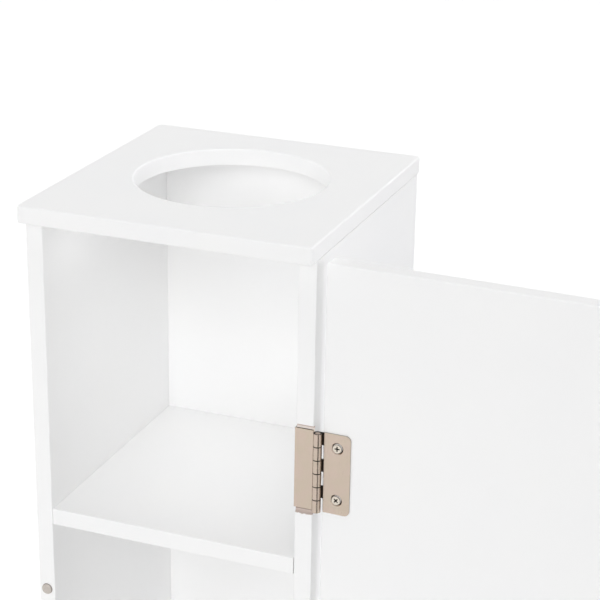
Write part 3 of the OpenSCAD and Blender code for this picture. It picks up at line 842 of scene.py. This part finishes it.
def screws_tree():
    """One countersunk screw on each point, its head turned to the point's "facing" direction."""
    tree, given, add = geometry_tree("countersunk_screws", {
        **dict.fromkeys(screw_sizes, "Float"), "Seed": "Int", "Material": "Material"})
    point_r = 0.2 * MM

    def maths(operation, first, second=0.0):
        return add("ShaderNodeMath", {0: first, 1: second}, operation=operation)

    def at_height(part, z):
        up = add("ShaderNodeCombineXYZ", {"Z": z})
        return add("GeometryNodeTransform", {"Geometry": part, "Translation": up})

    rim = add("GeometryNodeMeshCylinder", {
        "Vertices": 40, "Radius": given["Head radius"], "Depth": given["Rim height"]})
    rim = at_height(rim, maths("MULTIPLY", given["Rim height"], -0.5))
    under_rim = maths("SUBTRACT", given["Head height"], given["Rim height"])
    head = add("GeometryNodeMeshCone", {
        "Vertices": 40, "Radius Top": given["Head radius"], "Radius Bottom": given["Shank radius"],
        "Depth": under_rim})
    head = at_height(head, maths("MULTIPLY", given["Head height"], -1.0))
    body_length = maths("SUBTRACT", given["Length"], given["Tip length"])
    shank = add("GeometryNodeMeshCylinder", {
        "Vertices": 24, "Radius": given["Shank radius"], "Depth": body_length})
    shank = at_height(shank, maths("MULTIPLY", body_length, -0.5))
    tip = add("GeometryNodeMeshCone", {
        "Vertices": 24, "Radius Top": given["Shank radius"], "Radius Bottom": point_r,
        "Depth": given["Tip length"]})
    tip = at_height(tip, maths("MULTIPLY", given["Length"], -1.0))
    parts = [tip, shank, head, rim]
    solid = add("GeometryNodeMeshBoolean", {"Mesh 2": parts}, operation="UNION", solver="EXACT")
    blade_size = add("ShaderNodeCombineXYZ", {
        "X": given["Recess length"], "Y": given["Recess width"],
        "Z": maths("MULTIPLY", given["Recess depth"], 2.0)})
    blade = add("GeometryNodeMeshCube", {"Size": blade_size})
    other = add("GeometryNodeTransform", {"Geometry": blade, "Rotation": (0, 0, math.pi / 2)})
    well = add("GeometryNodeMeshCone", {
        "Vertices": 4, "Radius Top": maths("MULTIPLY", given["Recess width"], 1.5),
        "Radius Bottom": point_r, "Depth": maths("MULTIPLY", given["Recess depth"], 1.4)})
    well = at_height(well, maths("MULTIPLY", given["Recess depth"], -1.2))
    parts = [well, other, blade]
    cross = add("GeometryNodeMeshBoolean", {"Mesh 2": parts}, operation="UNION", solver="EXACT")
    recessed = add("GeometryNodeMeshBoolean", {
        "Mesh 1": solid, "Mesh 2": cross}, operation="DIFFERENCE", solver="EXACT")
    bare_neck = 0.3 * MM
    run = maths("SUBTRACT", maths("SUBTRACT", body_length, given["Head height"]), bare_neck)
    helix = add("GeometryNodeCurveSpiral", {
        "Resolution": 20, "Rotations": given["Turns"], "Start Radius": given["Shank radius"],
        "End Radius": given["Shank radius"], "Height": run})
    ridge = add("GeometryNodeCurvePrimitiveCircle", {"Resolution": 3, "Radius": given["Thread height"]})
    thread = add("GeometryNodeCurveToMesh", {"Curve": helix, "Profile Curve": ridge, "Fill Caps": True})
    thread = at_height(thread, maths("MULTIPLY", body_length, -1.0))
    screw = add("GeometryNodeJoinGeometry", {0: [thread, recessed]})
    facing = add("GeometryNodeInputNamedAttribute", {"Name": "facing"}, data_type="FLOAT_VECTOR")
    aimed = add("FunctionNodeAlignRotationToVector", {"Vector": facing}, axis="Z")
    turn = add("FunctionNodeRandomValue", {3: math.pi / 2, "Seed": given["Seed"]}, 1, data_type="FLOAT")
    spin = add("FunctionNodeAxisAngleToRotation", {"Axis": (0, 0, 1), "Angle": turn})
    turned_in = add(
        "FunctionNodeRotateRotation", {"Rotation": aimed, "Rotate By": spin}, rotation_space="LOCAL")
    screws = add("GeometryNodeInstanceOnPoints", {
        "Points": given["Geometry"], "Instance": screw, "Rotation": turned_in})
    solid_screws = add("GeometryNodeRealizeInstances", {"Geometry": screws})
    plated = add("GeometryNodeSetMaterial", {"Geometry": solid_screws, "Material": given["Material"]})
    add_node(tree, "NodeGroupOutput", {0: plated})
    return tree


countersunk_screws = screws_tree()


def screw_set(name, places, seed):
    """Screws at (place, facing) pairs, made by the screw tree."""
    shape = bmesh.new()
    facing = shape.verts.layers.float_vector.new("facing")
    for place, direction in places:
        vert = shape.verts.new(place - direction * head_sink)
        vert[facing] = direction
    piece = new_piece(name, shape)
    grow(piece, countersunk_screws, {**screw_sizes, "Seed": seed, "Material": bright_nickel})
    slack = 0.02 * MM

    def rim_or_recess(face):
        place, direction = min(places, key=lambda pair: (face.center - pair[0]).length)
        step = face.center - (place - direction * head_sink)
        depth = -step.dot(direction)
        off_axis = (step + direction * depth).length
        near_axis = off_axis < screw_sizes["Recess length"] / 2 + slack
        in_recess = near_axis and depth < 2 * screw_sizes["Recess depth"]
        on_rim = off_axis > screw_sizes["Head radius"] - slack
        return depth > slack and (in_recess or on_rim)

    # Painted shade: faces below the board's face, in the cross recess and on the sunk rim of the head, get the
    # near-black material
    replate(piece, painted_shade_nickel, rim_or_recess)
    return round_edges(piece, screw_edge, 50, 1)


frame_places, door_places = [], []
into_door = open_door.to_3x3()
for z in hinge_z.values():
    for end in (-1, 1):
        height = z + end * leaf_screw_gap / 2
        frame_place = Vector((panel_low.x - leaf_t, axis.y + bore_r + frame_screw_share * flange_d, height))
        frame_places.append((frame_place, Vector((-1, 0, 0))))
        door_place = Vector((
            axis.x - door_screw_out + door_screw_play, axis.y - bore_r, height - door_screw_sag))
        door_places.append((open_door @ door_place, into_door @ Vector((0, 1, 0))))
finish(screw_set("frame_leaf_screws", frame_places, 3), "cabinet", "screw_nickel",
       "upper_hinge_frame_screws", "lower_hinge_frame_screws")
finish(screw_set("door_leaf_screws", door_places, 5), "door", "screw_nickel",
       "upper_hinge_door_screws", "lower_hinge_door_screws")


# ---- Door ----
# One painted fibreboard panel with eased edges, drilled through for the knob's screw. It is made shut and
# then swung open, like everything that is fixed to it.
door_edge_r = 1 * MM
knob_screw_fit = 0.3 * MM


def shut_box(node):
    """Lowest and highest corner of a door node, with the door turned shut."""
    shut_door = open_door.inverted()
    places = [shut_door @ vert.co for vert in frame["nodes"][node].data.vertices]
    low = Vector([min(place[i] for place in places) for i in range(3)])
    high = Vector([max(place[i] for place in places) for i in range(3)])
    return low, high


door_low, door_high = shut_box("door_panel")
door = put(board("door_board", door_low, door_high, (door_edge_r,) * 3), open_door)
drill(door, knob_screw_fit, "knob_screw")
for place, direction in door_places:
    boolean(door, screw_seat(place - direction * leaf_t, direction, screw_head_r))
finish(door, "door", "painted_board", "door_panel")


# ---- Knob and its screw ----
# Turned steel knob in satin nickel, with a base, a neck and a low domed face. A zinc-plated machine screw
# with a pan head holds it through the door.
knob_low, knob_high = shut_box("knob")
knob_middle = (knob_low + knob_high) / 2
knob_l = knob_high.y - knob_low.y
knob_r = (knob_high.x - knob_low.x) / 2
knob_base_r = 6.5 * MM
knob_base_h = 1.6 * MM
knob_neck_r = 4.5 * MM
knob_head_h = 8 * MM
knob_dome_r = 20 * MM
knob_lip_r = 1.6 * MM
base_low_r = 0.4 * MM
base_top_r = 0.6 * MM
neck_low_r = 1.2 * MM
neck_top_r = 2 * MM
knob_thread_r = 2.05 * MM
knob_thread_d = 11 * MM


def knob_outline():
    """Half section of the knob from the door outwards."""
    lip_z = knob_l - knob_dome_r + math.sqrt(knob_dome_r**2 - (knob_r - knob_lip_r) ** 2)
    dome_angle = math.degrees(math.asin((knob_r - knob_lip_r) / knob_dome_r))
    under_z = knob_l - knob_head_h
    points = [(0, knob_thread_d), (knob_thread_r, knob_thread_d), (knob_thread_r, 0)]
    points += arc((knob_base_r - base_low_r, base_low_r), base_low_r, 270, 360, 3)
    points += arc((knob_base_r - base_top_r, knob_base_h - base_top_r), base_top_r, 0, 90, 4)
    points += arc((knob_neck_r + neck_low_r, knob_base_h + neck_low_r), neck_low_r, 270, 180, 6)
    points += arc((knob_neck_r + neck_top_r, under_z - neck_top_r), neck_top_r, 180, 90, 6)
    points += arc((knob_r - knob_lip_r, under_z + knob_lip_r), knob_lip_r, 270, 360, 8)
    points += arc((knob_r - knob_lip_r, lip_z - knob_lip_r), knob_lip_r, 0, 90 - dome_angle, 5)
    points += arc((0, knob_l - knob_dome_r), knob_dome_r, 90 - dome_angle, 90, 12)
    return points


knob = turned("round_knob", knob_outline(), satin_nickel, 96)
put(knob, open_door @ turn_to((knob_middle.x, door_low.y, knob_middle.z), 90, "X"))
finish(knob, "door", "hinge_nickel", "knob")

screw_low, screw_high = shut_box("knob_screw")
shank_end = screw_low.y - door_high.y
shank_r = 2 * MM
shank_chamfer = 0.4 * MM
pan_r = (screw_high.x - screw_low.x) / 2
pan_h = screw_high.y - door_high.y
pan_edge_r = 1.2 * MM
pan_taper = 0.1 * MM
pan_screw_edge = 0.08 * MM
pan_recess = (4 * MM, 0.9 * MM, 2.6 * MM)
pan_outline = [(0, shank_end), (shank_r - shank_chamfer, shank_end), (shank_r, shank_end + shank_chamfer)]
pan_outline += [(shank_r, 0), (pan_r - pan_taper, 0)]
pan_outline += arc((pan_r - pan_edge_r, pan_h - pan_edge_r), pan_edge_r, 0, 90, 6) + [(0, pan_h)]
pan_screw = turned("knob_pan_screw", pan_outline, zinc_plate, 48)
for turn in (45, 135):
    slot_shape = bmesh.new()
    bmesh.ops.create_cube(slot_shape, size=1)
    blade = new_piece("recess_blade", slot_shape, zinc_plate)
    put(blade, turn_to((0, 0, pan_h), turn, "Z") @ Matrix.Diagonal((*pan_recess, 1)))
    boolean(pan_screw, blade)
round_edges(pan_screw, pan_screw_edge, 50, 1)
put(pan_screw, open_door @ turn_to((knob_middle.x, door_high.y, knob_middle.z), -90, "X"))
finish(pan_screw, "door", "fixing_steel", "knob_screw")


# ---- Strike disc ----
# Zinc-plated steel disc on the door's inner face, where the magnet meets it. One countersunk screw through
# its middle holds it.
strike_low, strike_high = shut_box("strike_disc")
strike_middle = (strike_low + strike_high) / 2
strike_r = (strike_high.x - strike_low.x) / 2
strike_t = strike_high.y - strike_low.y
strike_edge = 0.4 * MM
strike_outline = [(seat_r - strike_t, 0), (strike_r, 0)]
strike_outline += arc((strike_r - strike_edge, strike_t - strike_edge), strike_edge, 0, 90, 4)
strike_outline += [(seat_r, strike_t)]
strike = turned("strike_plate", strike_outline, zinc_plate)
strike_place = Vector((strike_middle.x, door_high.y, strike_middle.z))
put(strike, open_door @ turn_to(strike_place, -90, "X"))
finish(strike, "door", "fixing_steel", "strike_disc")
strike_screw_place = open_door @ (strike_place + Vector((0, strike_t, 0)))
strike_screw = screw_set("strike_plate_screw", [(strike_screw_place, into_door @ Vector((0, 1, 0)))], 8)
finish(strike_screw, "door", "screw_nickel", "strike_screw")


# ---- Studio ----
# Wide pale floor that the camera sees as white paper, with the object's shadow on it. Softboxes hang
# overhead, stand far off all round and tilt up from the floor in front, and small lamps inside stand in for
# the light that a white room sends in. The camera is in front, to the right, and looks down.
camera_place = (0.4603, -1.0665, 0.9801)
camera_yaw = math.radians(20.973)
camera_pitch = math.radians(21.032)
camera_roll = math.radians(0.994)
camera_lens = 109.29
room_light = 0.25
floor_half = 30
floor_glow = 0.56
overhead_place = (0.1, 0, 2.7)
overhead_size = 1.8
overhead_power = 17.5
# Far softboxes: direction from the front to the right, height and width in degrees, strength and colour
softboxes = {
    "left_softbox": (-100, 5, 38, 1.0, (1, 1, 1)),
    "front_softbox": (10, 16, 24, 0.26, (1, 1, 1)),
    "high_softbox": (10, 30, 24, 0.51, (1, 1, 1)),
    "key_softbox": (35, 16, 24, 0.32, (1, 1, 1)),
    "right_softbox": (108, 9, 38, 0.92, (0.965, 0.965, 1)),
    "back_softbox": (170, 9, 38, 1.1, (1, 1, 1)),
}
# Softboxes that stand on the floor in front and tilt up: direction as above, place, width, height and power
floor_softboxes = {
    "floor_left_softbox": (-27, (-0.8, -1.6, 0.255), 0.7, 0.5, 4.1),
    "floor_right_softbox": (9, (0.3, -1.7, 0.215), 0.6, 0.42, 1.65),
}
floor_softbox_tilt = 13
# Lamps inside the compartments: place and power
inner_lamps = {
    "upper_lamp": ((0.01, -0.066, 0.515), 0.052),
    "lower_lamp": ((0.01, -0.055, 0.26), 0.043),
}
inner_lamp_r = 30 * MM

camera = new_object("camera", bpy.data.cameras.new("camera"))
camera.data.lens = camera_lens
camera.data.sensor_width = 36
camera.matrix_world = (
    Matrix.Translation(camera_place) @ Matrix.Rotation(camera_yaw, 4, "Z")
    @ Matrix.Rotation(math.pi / 2 - camera_pitch, 4, "X") @ Matrix.Rotation(camera_roll, 4, "Z"))
bpy.context.scene.camera = camera


def add_lamp(name, kind, matrix, strength):
    light = new_object(name, bpy.data.lights.new(name, kind))
    light.data.energy = strength
    light.matrix_world = matrix
    return light


def shining_from(side, height):
    """Turn of a lamp that shines from that direction, in degrees."""
    return Matrix.Rotation(math.radians(side), 4, "Z") @ Matrix.Rotation(math.radians(90 - height), 4, "X")


top_light = add_lamp("overhead_softbox", "AREA", Matrix.Translation(overhead_place), overhead_power)
top_light.data.size = overhead_size
for name, (side, height, width, strength, colour) in softboxes.items():
    softbox = add_lamp(name, "SUN", shining_from(side, height), strength)
    softbox.data.angle = math.radians(width)
    softbox.data.color = colour
# The metal mirrors the bare room behind it, not that softbox
bpy.data.objects["back_softbox"].visible_glossy = False
for name, (side, place, width, height, power) in floor_softboxes.items():
    aim = shining_from(side, -floor_softbox_tilt)
    softbox = add_lamp(name, "AREA", Matrix.Translation(place) @ aim, power)
    softbox.data.shape = "RECTANGLE"
    softbox.data.size = width
    softbox.data.size_y = height
    softbox.visible_camera = softbox.visible_glossy = False
for name, (place, power) in inner_lamps.items():
    lamp = add_lamp(name, "POINT", Matrix.Translation(place), power)
    lamp.data.shadow_soft_size = inner_lamp_r
    lamp.visible_camera = lamp.visible_glossy = False


def seen_as_white(tree):
    """1 for a ray of the camera, or one that metal mirrors, and 0 for a ray that only carries light."""
    path = tree.nodes.new("ShaderNodeLightPath")
    seen = path.outputs["Is Camera Ray"]
    for title in ("Is Glossy Ray", "Is Transmission Ray"):
        either = add_node(tree, "ShaderNodeMath", {0: seen, 1: path.outputs[title]}, operation="MAXIMUM")
        seen = either.outputs[0]
    return seen


world = bpy.data.worlds.new("studio")
world.use_nodes = True
bpy.context.scene.world = world
room = world.node_tree
sky = room.nodes["Background"]
sky.inputs["Color"].default_value = (1, 1, 1, 1)
level = add_node(room, "ShaderNodeMapRange", {
    "Value": seen_as_white(room), "To Min": room_light, "To Max": 1.0})
feed(room, sky.inputs["Strength"], level.outputs["Result"])

paper = Finish("floor_paper")
glow = paper.math("MULTIPLY", seen_as_white(paper.tree), floor_glow)
fibre = paper.clouds(2 * MM, 2)
paper.use(Base_Color=paper.blend(fibre, (0.80, 0.80, 0.80, 1), (0.84, 0.84, 0.84, 1)), Roughness=0.9,
          Specular_IOR_Level=0.1, Emission_Color=(1, 1, 1, 1), Emission_Strength=glow)
floor_shape = bmesh.new()
bmesh.ops.create_grid(floor_shape, x_segments=1, y_segments=1, size=floor_half)
floor = new_piece("floor", floor_shape, paper.material)

# Black card below the camera, which only metal mirrors, so that the hinge's barrel gets its dark line
card_left, card_right = (0.36, -0.84), (0.75, -0.583)
card_h = 0.3
card_shape = bmesh.new()
corners = [(*card_left, 0), (*card_right, 0), (*card_right, card_h), (*card_left, card_h)]
card_shape.faces.new([card_shape.verts.new(corner) for corner in corners])
black = Finish("black_card")
soot = black.blend(black.clouds(5 * MM), (0.05, 0.045, 0.04, 1), (0.07, 0.065, 0.06, 1))
black.use(Base_Color=soot, Roughness=1.0, Specular_IOR_Level=0.0)
card = new_piece("black_card", card_shape, black.material)
card.visible_camera = card.visible_diffuse = card.visible_shadow = card.visible_transmission = False

bpy.context.scene.view_settings.view_transform = "Standard"
